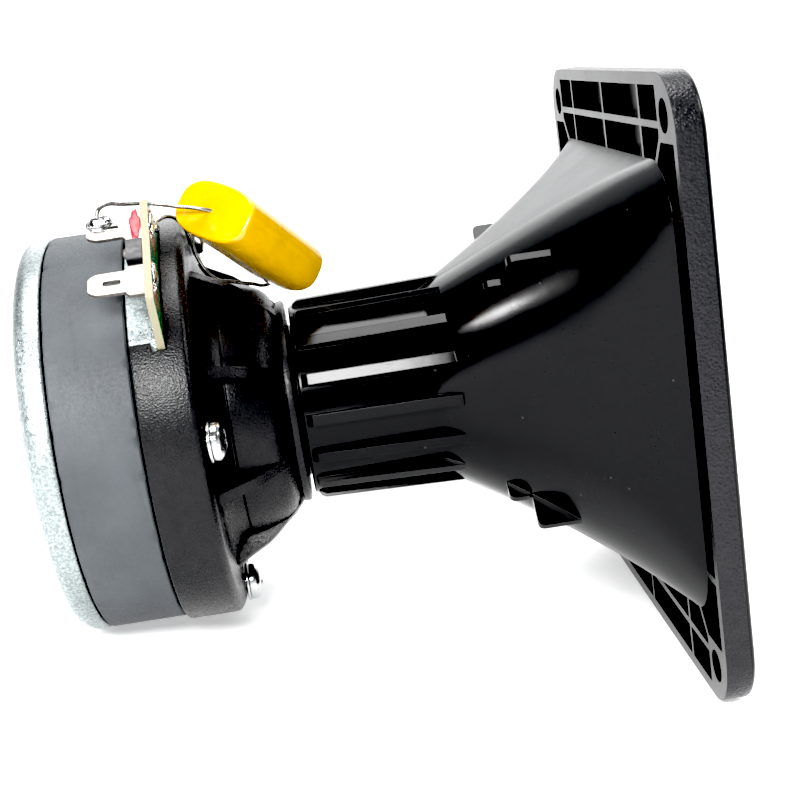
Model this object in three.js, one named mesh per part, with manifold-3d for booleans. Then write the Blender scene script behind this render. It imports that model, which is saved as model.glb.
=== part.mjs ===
// A compression driver with a series capacitor, screwed into the neck of a square-flanged horn.
// Millimetres. +X runs along the axis out of the horn's mouth and +Z is up. Places along the axis
// are measured from the flange's rear face, and the finished group is moved so that its origin is
// the centre of the back plate's rear face. Angles run round the axis from -Y (0) towards +Z.
import * as THREE from 'three';
import { mergeVertices } from 'three/addons/utils/BufferGeometryUtils.js';
import Module from 'manifold-3d';

const wasm = await Module();
wasm.setup();

// ---- driving dimensions ----
const gap = 0.3;                    // left between pieces that touch

const flangeHalf = 64.76;           // half the flange's side
const flangeDepth = 6.2;
const flangeCorner = 12;
const frontSkin = 2.2;              // thickness in front of the flange's rear pockets
const holePitchHalf = 56.5;
const holeRadius = 3.4;

const mouthHalfY = 56.4;            // outside of the flare where it meets the flange
const mouthHalfZ = 47.5;
const wall = 2.3;
const neckRadius = 22;
const neckRear = -77.3;
const flareStart = -47;             // the neck ends and the flare begins
const neckRibCount = 16;
const threadRadius = 17.45;         // 1-3/8 inch thread, drawn plain
const throatRadius = 12.7;          // 1 inch throat
const boreEnd = -63.5;              // floor of the neck's threaded bore

const magnetRadius = 45;
const magnetHole = 22.5;
const magnetRear = -127.2;
const magnetFront = -110.1;
const yokeRear = -133.9;
const topPlateRadius = 44.2;
const topPlateFront = -104.1;
const topPlateRear = magnetFront + gap;
const poleFront = topPlateFront - 0.7;
const coverRadius = 46;
const skirtRear = -109.7;
const shoulderFace = -97;
const collarRear = -80.1;
const collarFront = -78.2;
const collarRadius = 23.4;
const coilRadius = 17.2;            // inside of the voice coil's former
const domeRadius = coilRadius - 0.3;
const domeRim = -103.5;
const domeRise = 3;

const screwCircle = 41;
const screwAngle = 4.3;             // the first of four
const gussetAngle = 26.6;           // the first of eight

const boardAngle = 50;              // middle of the terminal board, round the axis
const boardFront = -102.2;
const boardRear = -103.8;
const boardMiddle = 1.8;            // sideways shift of the board's centre line
const tabOut = 54.4;                // distance of the terminal tabs from the axis
const tabSides = [boardMiddle - 7.6, boardMiddle + 7.6];
const leadOffset = 6;

const capacitorStart = new THREE.Vector3(-89.2, -21.8, 48.1);
const capacitorAxis = new THREE.Vector3(0.429, 0.738, -0.521).normalize();
const capacitorSide = new THREE.Vector3(0.715, -0.63, -0.304).normalize();
const capacitorLength = 32;
const capacitorHalfWidth = 10;
const capacitorHalfHeight = 6.2;
const leadRadius = 0.42;

const degrees = Math.PI / 180;

// ---- solids ----

// A closed geometry as a solid: vertices merged, flat triangles dropped, faces turned outwards.
function asSolid(geometry) {
  const bare = geometry.clone();
  bare.deleteAttribute('normal');
  bare.deleteAttribute('uv');
  const merged = mergeVertices(bare, 1e-4);
  const points = merged.attributes.position.array;
  const corners = merged.index.array;
  const triangles = [];
  let volume = 0;
  const a = new THREE.Vector3();
  const b = new THREE.Vector3();
  const c = new THREE.Vector3();
  for (let i = 0; i < corners.length; i += 3) {
    const [p, q, r] = [corners[i], corners[i + 1], corners[i + 2]];
    if (p === q || q === r || r === p) continue;
    a.fromArray(points, 3 * p);
    b.fromArray(points, 3 * q);
    c.fromArray(points, 3 * r);
    volume += a.dot(b.cross(c));
    triangles.push(p, q, r);
  }
  if (volume < 0) triangles.reverse();
  const vertProperties = new Float32Array(points);
  const triVerts = new Uint32Array(triangles);
  return new wasm.Manifold(new wasm.Mesh({ numProp: 3, vertProperties, triVerts }));
}

function asGeometry(solid) {
  const mesh = solid.getMesh();
  const geometry = new THREE.BufferGeometry();
  geometry.setAttribute('position', new THREE.BufferAttribute(mesh.vertProperties, 3));
  geometry.setIndex(new THREE.BufferAttribute(mesh.triVerts, 1));
  geometry.computeVertexNormals();
  return geometry;
}

const join = (solids) => solids.reduce((whole, solid) => whole.add(solid));
const cut = (body, tools) => tools.reduce((whole, tool) => whole.subtract(tool), body);

// A profile of [x, radius] points turned about the X axis.
function turned(profile, segments = 56) {
  const points = profile.map(([x, radius]) => new THREE.Vector2(radius, x));
  const onAxis = profile[0][1] === 0;
  if (!onAxis) points.push(points[0]);
  return asSolid(new THREE.LatheGeometry(points, segments).rotateZ(-Math.PI / 2));
}

const disc = (x0, x1, radius, segments) => (
  turned([[x0, 0], [x0, radius], [x1, radius], [x1, 0]], segments)
);

const ring = (x0, x1, inner, outer, segments) => (
  turned([[x0, inner], [x0, outer], [x1, outer], [x1, inner]], segments)
);

function box(x0, x1, y0, y1, z0, z1) {
  const geometry = new THREE.BoxGeometry(x1 - x0, y1 - y0, z1 - z0);
  return asSolid(geometry.translate((x0 + x1) / 2, (y0 + y1) / 2, (z0 + z1) / 2));
}

function outline(points) {
  return new THREE.Shape(points.map(([a, b]) => new THREE.Vector2(a, b)));
}

// An outline in (y, z) made into a prism from x0 to x1.
function prism(shape, x0, x1, curveSegments = 12) {
  const geometry = new THREE.ExtrudeGeometry(shape, { depth: x1 - x0, bevelEnabled: false, curveSegments });
  const turn = new THREE.Matrix4().set(0, 0, 1, x0, 1, 0, 0, 0, 0, 1, 0, 0, 0, 0, 0, 1);
  return asSolid(geometry.applyMatrix4(turn));
}

// A plate in the half plane through the axis at the given angle, from an outline in (x, radius).
function radialPlate(shape, thickness, angle) {
  const settings = { depth: thickness, bevelEnabled: false, curveSegments: 5 };
  const geometry = new THREE.ExtrudeGeometry(shape, settings);
  return asSolid(geometry.translate(0, 0, -thickness / 2).rotateX((180 - angle) * degrees));
}

const moved = (solid, matrix) => asSolid(asGeometry(solid).applyMatrix4(matrix));

const shifted = (solid, x, y, z) => moved(solid, new THREE.Matrix4().makeTranslation(x, y, z));

// A solid made at 90 degrees (above the axis), turned to another angle round the axis.
function placedAt(solid, angle) {
  return moved(solid, new THREE.Matrix4().makeRotationX((90 - angle) * degrees));
}

function roundedRectangle(halfWidth, halfHeight, corner) {
  const shape = new THREE.Shape();
  const centres = [[1, 1], [-1, 1], [-1, -1], [1, -1]];
  centres.forEach(([a, b], quarter) => {
    const start = quarter * Math.PI / 2;
    shape.absarc(a * (halfWidth - corner), b * (halfHeight - corner), corner, start, start + Math.PI / 2);
  });
  return shape;
}

// A round wire through points, with its bends rounded by a curve.
function wire(points, radius, steps) {
  const path = new THREE.CatmullRomCurve3(points.map((p) => new THREE.Vector3(...p)), false, 'centripetal');
  const section = new THREE.Shape().absarc(0, 0, radius, 0, 2 * Math.PI);
  return asSolid(new THREE.ExtrudeGeometry(section, { extrudePath: path, steps, curveSegments: 3 }));
}

// ---- horn ----

// Distance from the axis to a rounded rectangle's edge, in one direction.
function reach(angle, halfY, halfZ, corner) {
  const y = Math.abs(Math.cos(angle));
  const z = Math.abs(Math.sin(angle));
  const centreY = halfY - corner;
  const centreZ = halfZ - corner;
  if (z * halfY <= y * centreZ) return halfY / y;
  if (y * halfZ <= z * centreY) return halfZ / z;
  const along = y * centreY + z * centreZ;
  return along + Math.sqrt(along * along - centreY ** 2 - centreZ ** 2 + corner ** 2);
}

// The flare's outside at x: half sizes and corner radius of a rounded rectangle.
function flareOutside(x) {
  const u = Math.max(0, (x - flareStart) / -flareStart);
  return {
    halfY: neckRadius + (mouthHalfY - neckRadius) * u ** 1.3,
    halfZ: neckRadius + (mouthHalfZ - neckRadius) * u ** 1.05,
    corner: neckRadius + 26 * u * u * (1 - u) - 9 * u ** 5,
  };
}

// The air inside the horn: a round throat that opens into the flare.
function flareInside(x) {
  if (x > 0) {
    const { halfY, halfZ, corner } = flareInside(0);
    return { halfY: halfY + 0.4 * x, halfZ: halfZ + 0.4 * x, corner };
  }
  if (x >= flareStart) {
    const { halfY, halfZ, corner } = flareOutside(x);
    return { halfY: halfY - wall, halfZ: halfZ - wall, corner: corner - wall };
  }
  const u = Math.max(0, (x - boreEnd) / (flareStart - boreEnd));
  const radius = throatRadius + (neckRadius - wall - throatRadius) * u ** 1.3;
  return { halfY: radius, halfZ: radius, corner: radius };
}

// Rings of points joined into one closed skin, with a fan at each end.
function loft(stations, sectionAt, around = 56) {
  const positions = [];
  const index = [];
  stations.forEach((x) => {
    const { halfY, halfZ, corner } = sectionAt(x);
    for (let i = 0; i < around; i += 1) {
      const turn = 4 * i / around;
      const crowd = 0.55 * Math.sin(2 * Math.PI * turn) / (2 * Math.PI);
      const angle = (turn + crowd) * Math.PI / 2;
      const distance = reach(angle, halfY, halfZ, corner);
      positions.push(x, distance * Math.cos(angle), distance * Math.sin(angle));
    }
  });
  for (let s = 0; s + 1 < stations.length; s += 1) {
    for (let i = 0; i < around; i += 1) {
      const [a, b] = [s * around + i, s * around + (i + 1) % around];
      index.push(a, b, b + around, a, b + around, a + around);
    }
  }
  const last = (stations.length - 1) * around;
  const [rear, front] = [positions.length / 3, positions.length / 3 + 1];
  positions.push(stations[0], 0, 0, stations[stations.length - 1], 0, 0);
  for (let i = 0; i < around; i += 1) {
    const next = (i + 1) % around;
    index.push(rear, next, i, front, last + i, last + next);
  }
  const geometry = new THREE.BufferGeometry();
  geometry.setAttribute('position', new THREE.Float32BufferAttribute(positions, 3));
  geometry.setIndex(index);
  return asSolid(geometry);
}

function spaced(from, to, count) {
  return Array.from({ length: count + 1 }, (_, i) => from + (to - from) * i / count);
}

// Sixteen ribs along the neck, with sloping rear ends, running out on the flare.
function neckRibs() {
  const shape = outline([
    [-76.4, 21], [-76.4, 22.6], [-75.4, 23.4], [-43.5, 24.3], [-41.5, 24.3], [-41.5, 21],
  ]);
  return Array.from({ length: neckRibCount }, (_, i) => radialPlate(shape, 2.5, i * 360 / neckRibCount));
}

// A thin plate standing on each corner of the flare, with a smaller one behind it.
function flareFins(angle) {
  const fin = (rear, outer, front) => {
    const shape = new THREE.Shape();
    const corner = 1.6;
    shape.moveTo(rear, outer - 12);
    shape.lineTo(rear, outer - corner);
    shape.absarc(rear + corner, outer - corner, corner, Math.PI, Math.PI / 2, true);
    shape.lineTo(front, outer);
    shape.lineTo(front, outer - 12);
    return radialPlate(shape, 1.8, angle);
  };
  return [fin(-29.8, 42.3, -18.5), fin(-34.7, 34.5, -29.5)];
}

// The flange's slab, with its front edge rounded over.
function flangeSlab() {
  const round = 1.3;
  const inner = roundedRectangle(flangeHalf - round, flangeHalf - round, flangeCorner - round);
  const geometry = new THREE.ExtrudeGeometry(inner, {
    depth: flangeDepth - round,
    bevelSize: round,
    bevelThickness: round,
    bevelSegments: 3,
    curveSegments: 8,
  });
  const turn = new THREE.Matrix4().set(0, 0, 1, 0, 1, 0, 0, 0, 0, 1, 0, 0, 0, 0, 0, 1);
  const slab = asSolid(geometry.applyMatrix4(turn));
  const rearHalf = prism(roundedRectangle(flangeHalf, flangeHalf, flangeCorner), 0, flangeDepth - round, 8);
  return slab.add(rearHalf).intersect(box(0, flangeDepth, -70, 70, -70, 70));
}

// The lattice that stands in the flange's hollow back: bars, cross ribs and corner bosses.
function flangeLattice() {
  const depth = flangeDepth - frontSkin + 0.5;
  const bossInner = 51.2;
  const barInner = 53.8;
  const barOuter = 55.3;
  const half = 0.75;
  const span = (side, near, far) => (side > 0 ? [near, far] : [-far, -near]);
  const pieces = [];
  [-1, 1].forEach((side) => {
    pieces.push(box(0, depth, -bossInner - 1, bossInner + 1, ...span(side, barInner, barOuter)));
    [-36.2, 0, 36.2].forEach((place) => {
      const upright = span(side, mouthHalfZ - 6, flangeHalf - 1);
      const level = span(side, mouthHalfY - 3, flangeHalf - 1);
      pieces.push(box(0, depth, place - half, place + half, ...upright));
      pieces.push(box(0, depth, ...level, place - half, place + half));
    });
    [-1, 1].forEach((end) => {
      const across = span(side, bossInner, flangeHalf - 1);
      const along = span(end, bossInner, flangeHalf - 1);
      pieces.push(box(0, depth, ...across, ...along));
      const slope = outline([
        [side * 44, end * 44 + end], [side * 44 + side, end * 44],
        [side * 53, end * 52], [side * 52, end * 53],
      ]);
      pieces.push(prism(slope, 0, depth));
    });
  });
  const within = prism(roundedRectangle(flangeHalf - 1, flangeHalf - 1, flangeCorner - 1), -1, depth + 1);
  return join(pieces).intersect(within);
}

function hornBody() {
  const stations = [neckRear, flareStart, ...spaced(-43, -3, 8), 0, flangeDepth - 0.5];
  const skin = loft(stations, (x) => flareOutside(Math.min(x, 0)));
  const rim = 2.56;
  const pocketOutline = roundedRectangle(flangeHalf - rim, flangeHalf - rim, flangeCorner - rim);
  const hollow = prism(pocketOutline, -1, flangeDepth - frontSkin, 8);
  const flange = join([flangeSlab().subtract(hollow), flangeLattice(), skin]);
  const fins = [45, 135, 225, 315].flatMap(flareFins);
  const solid = join([flange, ...neckRibs(), ...fins]);
  const air = loft([boreEnd - 0.2, ...spaced(-59, -3, 8), 0, flangeDepth + 1], flareInside);
  const bore = disc(neckRear - 1, boreEnd, threadRadius + gap);
  const holes = [[1, 1], [1, -1], [-1, 1], [-1, -1]].map(([y, z]) => (
    shifted(disc(-1, flangeDepth + 1, holeRadius, 24), 0, y * holePitchHalf, z * holePitchHalf)
  ));
  return cut(solid, [air, bore, ...holes]);
}

// ---- driver: magnet system ----

// Rear plate and pole in one forging.
function yoke() {
  return turned([
    [yokeRear, 0], [yokeRear, 41.4], [-133.4, 43.2], [-132.4, 44.4], [-131.4, magnetRadius],
    [magnetRear - gap, magnetRadius], [magnetRear - gap, 16.7], [poleFront, 16.7],
    [poleFront, 0],
  ], 72);
}

const ferriteMagnet = () => ring(magnetRear, magnetFront, magnetHole, magnetRadius, 72);

function topPlate() {
  const plate = ring(topPlateRear, topPlateFront, 18.5, topPlateRadius, 72);
  return cut(plate, screwPlaces().map(([y, z]) => (
    shifted(disc(topPlateRear - 1, topPlateFront + 1, 2, 12), 0, y, z)
  )));
}

// ---- driver: front cover ----

function screwPlaces() {
  return [0, 1, 2, 3].map((i) => {
    const angle = (screwAngle + 90 * i) * degrees;
    return [-screwCircle * Math.cos(angle), screwCircle * Math.sin(angle)];
  });
}

// Skirt, shoulder, dome, collar and threaded stub, as one turned shell.
function coverShell() {
  return turned([
    [skirtRear, topPlateRadius + gap], [skirtRear, coverRadius], [-98.2, coverRadius],
    [-97.6, 45.4], [shoulderFace, 41.4], [shoulderFace, 35.2], [-96, 33.5], [-94.6, 31.4],
    [-92.6, 29.6], [-91, 29.2], [-89.1, 28.8], [-86.7, 28], [-83.7, 27.1], [-81.8, 25.4],
    [collarRear - 0.3, 22.6], [collarRear, 22.6], [collarRear, collarRadius],
    [collarFront, collarRadius], [collarFront, threadRadius], [-64.9, threadRadius],
    [-64.9, throatRadius], [-84, throatRadius], [-87, 17.6], [-91, 21.4],
    [-100.9, 21.4], [-100.9, 27.6], [topPlateFront + gap, 27.6],
    [topPlateFront + gap, topPlateRadius + gap],
  ]);
}

// Eight gussets between the shoulder and the dome.
function gussets() {
  const crest = new THREE.Shape();
  crest.moveTo(-98, 28);
  crest.lineTo(-98, 36.6);
  crest.lineTo(-96.6, 36);
  [[-94, 34.5], [-89.3, 32], [-85.2, 28.5], [-81, 24.6]].forEach(([x, r]) => crest.lineTo(x, r));
  crest.lineTo(collarRear + 0.4, 23);
  crest.lineTo(collarRear + 0.4, 20);
  crest.lineTo(-88, 23);
  crest.lineTo(-93, 26);
  return Array.from({ length: 8 }, (_, i) => radialPlate(crest, 2.7, gussetAngle + 45 * i));
}

// A prism from an outline in the board's own frame: sideways first, then outwards from the axis.
const onBoard = (shape, x0, x1) => placedAt(prism(shape, x0, x1), boardAngle);

// The board's outline: side in the first coordinate, distance from the axis in the second.
function boardOutline(grow) {
  const m = boardMiddle;
  return outline([
    [m + 13.4 + grow, 56 + grow], [m - 13.4 - grow, 56 + grow], [m - 14.2 - grow, 55 + grow],
    [m - 17 - grow, 43.3], [m - 12 - grow, 29.2 - grow], [m + 12 + grow, 29.2 - grow],
    [m + 17 + grow, 43.3], [m + 14.2 + grow, 55 + grow],
  ]);
}

function frontCover() {
  const shell = join([coverShell(), ...gussets()]);
  const notch = onBoard(outline([
    [boardMiddle + 19, 60], [boardMiddle - 19, 60], [boardMiddle - 15, 42], [boardMiddle + 15, 42],
  ]), skirtRear - 1, boardFront + gap);
  const pocket = onBoard(boardOutline(gap), topPlateFront - 1, boardFront + gap);
  const leadSlots = [-leadOffset, leadOffset].map((side) => onBoard(outline([
    [side - 1.3, 26], [side + 1.3, 26], [side + 1.3, 33], [side - 1.3, 33],
  ]), topPlateFront - 1, -100.7));
  const holes = screwPlaces().map(([y, z]) => shifted(disc(-110, -90, 2.2, 16), 0, y, z));
  return cut(shell, [notch, pocket, ...leadSlots, ...holes]);
}

// A dome's outline from its rim to the axis, pushed outwards by some distance.
function domeLine(offset, steps) {
  const sphere = (domeRadius ** 2 + domeRise ** 2) / (2 * domeRise);
  const centre = domeRim + domeRise - sphere;
  return spaced(domeRadius, 0, steps).map((r) => {
    const lift = Math.sqrt((sphere + offset) ** 2 - r ** 2);
    return [centre + lift, r];
  });
}

// A block with two rings of sound passages, its rear face following the diaphragm's dome.
function phasePlug() {
  const body = turned([
    ...domeLine(0.7, 4).reverse(), [-101.4, 17.6], [-101, 20.2], [-101, 21], [-91.4, 21],
    [-91.1, 19.6], [-87.4, 15.9], [-86, 0],
  ], 28);
  const passage = (rearRadius, frontRadius) => turned([
    [-105, rearRadius], [-105, rearRadius + 1.2], [-84, frontRadius + 1.2], [-84, frontRadius],
  ], 28);
  const webs = [0, 120, 240].map((angle) => placedAt(box(-110, -80, -1.2, 1.2, 0, 24), angle));
  const passages = [passage(14.4, 11.2), passage(6.8, 5.4)];
  return cut(body, passages.map((air) => cut(air, webs)));
}

// ---- driver: moving diaphragm and its mounting ring ----

function diaphragmDome() {
  return turned([...domeLine(0, 5), ...domeLine(-0.35, 5).reverse()], 32);
}

const coilFormer = () => ring(-108.6, -103.35, coilRadius, coilRadius + 0.3, 32);

const coilWinding = () => ring(-108.4, -104.6, coilRadius + 0.4, coilRadius + 0.85, 32);

// Half-roll film between the former and the mounting ring.
function surround() {
  const inner = coilRadius + 0.9;
  const outer = 20.4;
  const arc = (size) => spaced(180, 0, 4).map((angle) => [
    -103.4 + 0.9 * Math.sin(angle * degrees) - (outer - inner) / 2 + size,
    (inner + outer) / 2 + size * Math.cos(angle * degrees),
  ]);
  const half = (outer - inner) / 2;
  return turned([...arc(half), ...arc(half - 0.25).reverse()], 32);
}

const mountingRing = () => ring(topPlateFront + gap, -101.3, 20.7, 27.2, 40);

// Flat lead from the mounting ring, up over its edge and down on the board.
function coilLead(side) {
  const strip = outline([
    [-101.25, 21.5], [-101.05, 21.5], [-101.05, 27.7], [-101.95, 30], [-101.95, 31.6],
    [-102.15, 31.6], [-102.15, 29.8], [-101.25, 27.5],
  ]);
  return placedAt(shifted(radialPlate(strip, 1.8, 90), 0, side * leadOffset, 0), boardAngle);
}

// ---- terminals ----

function terminalBoard() {
  const slot = (side) => onBoard(outline([
    [side - 4.3, tabOut - 0.7], [side + 4.3, tabOut - 0.7],
    [side + 4.3, tabOut + 0.7], [side - 4.3, tabOut + 0.7],
  ]), -105, -101);
  return cut(onBoard(boardOutline(0), boardRear, boardFront), tabSides.map(slot));
}

// A blade tab: a wide foot through the board, then a slotted tongue with a cropped tip.
function terminalTab(side) {
  const shape = outline([
    [boardFront + 0.6, side - 4], [boardFront + 0.6, side + 4], [-107.2, side + 4],
    [-107.6, side + 2.9], [-113.9, side + 2.9], [-115.4, side + 1.7], [-115.4, side - 1.7],
    [-113.9, side - 2.9], [-107.6, side - 2.9], [-107.2, side - 4],
  ]);
  const slot = new THREE.Path();
  slot.absarc(-111.7, side, 0.6, 1.5 * Math.PI, 0.5 * Math.PI, true);
  slot.absarc(-109.3, side, 0.6, 0.5 * Math.PI, -0.5 * Math.PI, true);
  shape.holes.push(slot);
  const blade = new THREE.ExtrudeGeometry(shape, { depth: 0.8, bevelEnabled: false, curveSegments: 6 });
  return placedAt(asSolid(blade.translate(0, 0, tabOut - 0.4)), boardAngle);
}

// The insulating block that stands on the board between the tabs.
function terminalBlock() {
  const block = box(-107.2, boardRear - gap, boardMiddle - 2.85, boardMiddle + 2.85, 52.6, 56);
  return placedAt(block, boardAngle);
}

// A bead of solder, on the outer face of the far tab where the lead ends.
function solderBead() {
  const bead = new THREE.SphereGeometry(1, 12, 8).scale(2.4, 1.8, 0.8);
  bead.translate(-112.4, tabSides[1] + 0.6, tabOut + 0.4 + gap + 0.8);
  return placedAt(asSolid(bead), boardAngle);
}

// ---- fasteners ----

function coverScrew([y, z]) {
  const head = turned([
    [-109.5, 0], [-109.5, 1.7], [-95.7, 1.7], [-95.7, 4.1], [-94.6, 4.1], [-93.7, 3.2],
    [-93.2, 1.6], [-93.1, 0],
  ], 16);
  const recess = [box(-94.6, -92, -2.3, 2.3, -0.5, 0.5), box(-94.6, -92, -0.5, 0.5, -2.3, 2.3)];
  return shifted(cut(head, recess), 0, y, z);
}

const coverWasher = ([y, z]) => shifted(ring(shoulderFace + gap, -96, 2.1, 4.4, 16), 0, y, z);

// ---- capacitor ----

// From the capacitor's own frame (length, width, height) to its place on the driver.
function onCapacitor(solid) {
  const across = new THREE.Vector3().crossVectors(capacitorAxis, capacitorSide);
  const place = new THREE.Matrix4().makeBasis(capacitorAxis, capacitorSide, across);
  return moved(solid, place.setPosition(capacitorStart));
}

// A flat oval section, inset from the capacitor's outside.
const ovalSection = (inset) => ({
  halfY: capacitorHalfWidth - inset,
  halfZ: capacitorHalfHeight - inset,
  corner: 4.9 - inset,
});

function capacitorWrap() {
  const outer = loft([0, 0.5, capacitorLength - 1.6, capacitorLength - 0.5, capacitorLength], (x) => (
    ovalSection(Math.max(0, 0.25 - x / 2, (x - capacitorLength + 1.6) / 2.2 + 0.05))
  ), 48);
  const inner = loft([-1, capacitorLength + 1], () => ovalSection(1.1), 48);
  return onCapacitor(outer.subtract(inner));
}

const capacitorWinding = () => onCapacitor(loft([2, capacitorLength - 2], () => ovalSection(1.5), 40));

const capacitorEnd = (low, high) => onCapacitor(loft([low, high], () => ovalSection(1.4), 48));

const tailPoint = (distance) => capacitorStart.clone().addScaledVector(capacitorAxis, distance).toArray();

// The lead that arches back to the far terminal tab.
const leadToTab = () => wire([
  tailPoint(-0.45), [-92, -21.8, 48.9], [-96.4, -20.8, 49.9], [-102.5, -19.7, 51.3],
  [-107.8, -22.5, 52.2], [-110.8, -24.2, 52.7], [-112.4, -25.2, 51.9], [-112.9, -25.5, 50.9],
], leadRadius, 20);

// The lead that turns back under the capacitor and over the cover to the board's front face.
const leadToBoard = () => wire([
  tailPoint(capacitorLength + 0.4), tailPoint(capacitorLength + 1.6), [-76.6, 4.6, 29.4],
  [-79.5, 3.6, 27.9], [-81.6, 2.6, 27.4], [-84.5, 0, 28.5], [-88.5, -2.5, 29.9],
  [-92.3, -5, 31.6], [-95.1, -6.4, 36.5], [-95.9, -8.7, 41.5], [-97.4, -12.5, 46],
  [-99.6, -16.5, 47.8], [-101.8, -18.5, 47.2],
], leadRadius, 32);

// ---- assembly ----

const look = {
  steel: { color: 0xc9ccce, metalness: 1, roughness: 0.35 },
  ferrite: { color: 0x5d656e, metalness: 0, roughness: 0.7 },
  blackPlastic: { color: 0x101113, metalness: 0, roughness: 0.4 },
  coverPlastic: { color: 0x141416, metalness: 0, roughness: 0.5 },
  board: { color: 0x2f7a55, metalness: 0, roughness: 0.4 },
  tin: { color: 0xd9d6cc, metalness: 1, roughness: 0.3 },
  yellow: { color: 0xf2cf10, metalness: 0, roughness: 0.2 },
  film: { color: 0xc9c2a8, metalness: 0, roughness: 0.5 },
  copper: { color: 0xc77b45, metalness: 1, roughness: 0.4 },
};

const pieces = [
  ['horn', hornBody(), look.blackPlastic],
  ['back_plate', yoke(), look.steel],
  ['ferrite_magnet', ferriteMagnet(), look.ferrite],
  ['top_plate', topPlate(), look.steel],
  ['driver_cover', frontCover(), look.coverPlastic],
  ['phase_plug', phasePlug(), look.blackPlastic],
  ['diaphragm_dome', diaphragmDome(), look.film],
  ['coil_former', coilFormer(), look.film],
  ['coil_winding', coilWinding(), look.copper],
  ['diaphragm_surround', surround(), look.film],
  ['diaphragm_ring', mountingRing(), look.blackPlastic],
  ['coil_lead_1', coilLead(-1), look.copper],
  ['coil_lead_2', coilLead(1), look.copper],
  ['terminal_board', terminalBoard(), look.board],
  ['terminal_block', terminalBlock(), look.blackPlastic],
  ['terminal_tab_1', terminalTab(tabSides[0]), look.tin],
  ['terminal_tab_2', terminalTab(tabSides[1]), look.tin],
  ['solder_bead', solderBead(), look.tin],
  ['capacitor_wrap', capacitorWrap(), look.yellow],
  ['capacitor_winding', capacitorWinding(), look.film],
  ['capacitor_end_1', capacitorEnd(-0.1, 1.7), look.yellow],
  ['capacitor_end_2', capacitorEnd(capacitorLength - 1.7, capacitorLength + 0.1), look.yellow],
  ['capacitor_lead_1', leadToTab(), look.tin],
  ['capacitor_lead_2', leadToBoard(), look.tin],
];
screwPlaces().forEach((place, i) => {
  pieces.push([`cover_screw_${i + 1}`, coverScrew(place), look.steel]);
  pieces.push([`screw_washer_${i + 1}`, coverWasher(place), look.steel]);
});

const group = new THREE.Group();
pieces.forEach(([name, solid, finish]) => {
  const mesh = new THREE.Mesh(asGeometry(solid), new THREE.MeshStandardMaterial(finish));
  mesh.name = name;
  group.add(mesh);
});
group.position.x = -yokeRear;

export default group;
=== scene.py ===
"""Looks for a compression driver on a square-flanged horn: meshes, materials, light and camera.

Lengths are in millimetres measured along the axis from the flange's rear face, as the design
has them, and place() turns them into the frame's metres. Angles run round the axis from the
near side (-Y, 0 degrees) towards the top (+Z, 90 degrees).
"""

import math

import bmesh
import bpy
from mathutils import Matrix, Vector, noise


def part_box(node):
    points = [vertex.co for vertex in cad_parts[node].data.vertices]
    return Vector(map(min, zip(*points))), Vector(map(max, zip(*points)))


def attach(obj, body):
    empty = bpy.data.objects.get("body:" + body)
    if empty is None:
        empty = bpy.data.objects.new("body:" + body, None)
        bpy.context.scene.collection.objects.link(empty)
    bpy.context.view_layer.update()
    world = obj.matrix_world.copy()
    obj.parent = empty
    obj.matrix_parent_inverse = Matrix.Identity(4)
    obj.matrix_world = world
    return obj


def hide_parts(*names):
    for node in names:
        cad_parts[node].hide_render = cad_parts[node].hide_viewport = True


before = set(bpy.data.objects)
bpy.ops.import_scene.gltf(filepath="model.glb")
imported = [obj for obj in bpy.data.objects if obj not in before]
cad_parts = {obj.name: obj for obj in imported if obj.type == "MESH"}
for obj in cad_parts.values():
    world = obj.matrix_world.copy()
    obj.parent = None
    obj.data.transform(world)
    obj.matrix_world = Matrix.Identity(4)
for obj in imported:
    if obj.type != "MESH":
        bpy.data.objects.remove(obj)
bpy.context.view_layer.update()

# ---- sizes ----

MM = 0.001
FLANGE_DEPTH = 6.2
HORN_LOW, HORN_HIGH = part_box("horn")
MAGNET_LOW, MAGNET_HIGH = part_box("ferrite_magnet")
ORIGIN_X = HORN_HIGH[0] / MM - FLANGE_DEPTH          # the flange's rear face in the frame
FLANGE_HALF = HORN_HIGH[1] / MM
FLANGE_CORNER = 12
FRONT_SKIN = 2.2
HOLE_PITCH_HALF = 56.5
HOLE_RADIUS = 3.4
CROSS_RIB_PITCH = 36.2
BOSS_START = 51.2
RIM_WALL = 2.56
MOUTH_HALF_Y = 56.4
MOUTH_HALF_Z = 47.5
WALL = 2.3
NECK_RADIUS = 22
NECK_RIBS = 16
NECK_REAR = HORN_LOW[0] / MM - ORIGIN_X
FLARE_START = -47
THREAD_RADIUS = 17.45
THREAD_BORE_RADIUS = 17.75
THROAT_RADIUS = 12.7
BORE_END = -63.5
GAP = 0.3

MAGNET_RADIUS = MAGNET_HIGH[1] / MM
MAGNET_REAR = MAGNET_LOW[0] / MM - ORIGIN_X
MAGNET_FRONT = MAGNET_HIGH[0] / MM - ORIGIN_X
YOKE_REAR = -ORIGIN_X
TOP_PLATE_RADIUS = 44.2
TOP_PLATE_FRONT = -104.1
POLE_RADIUS = 16.7
MAGNET_BORE_RADIUS = 22.5
COVER_RADIUS = 46
SKIRT_REAR = -109.7
SHOULDER = -97
COLLAR_REAR = -80.1
COLLAR_FRONT = -78.2
COLLAR_RADIUS = 23.4
SCREW_CIRCLE = 41
SCREW_ANGLE = 4.3
GUSSET_ANGLE = 26.6
GUSSETS = 8

BOARD_ANGLE = 50
BOARD_FRONT = -102.2
BOARD_REAR = -103.8
BOARD_MIDDLE = 1.8
TAB_OUT = 54.4
TAB_HALF_THICKNESS = 0.4
TAB_SIDES = (BOARD_MIDDLE - 7.6, BOARD_MIDDLE + 7.6)
BLOCK_REAR = -107.2

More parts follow.
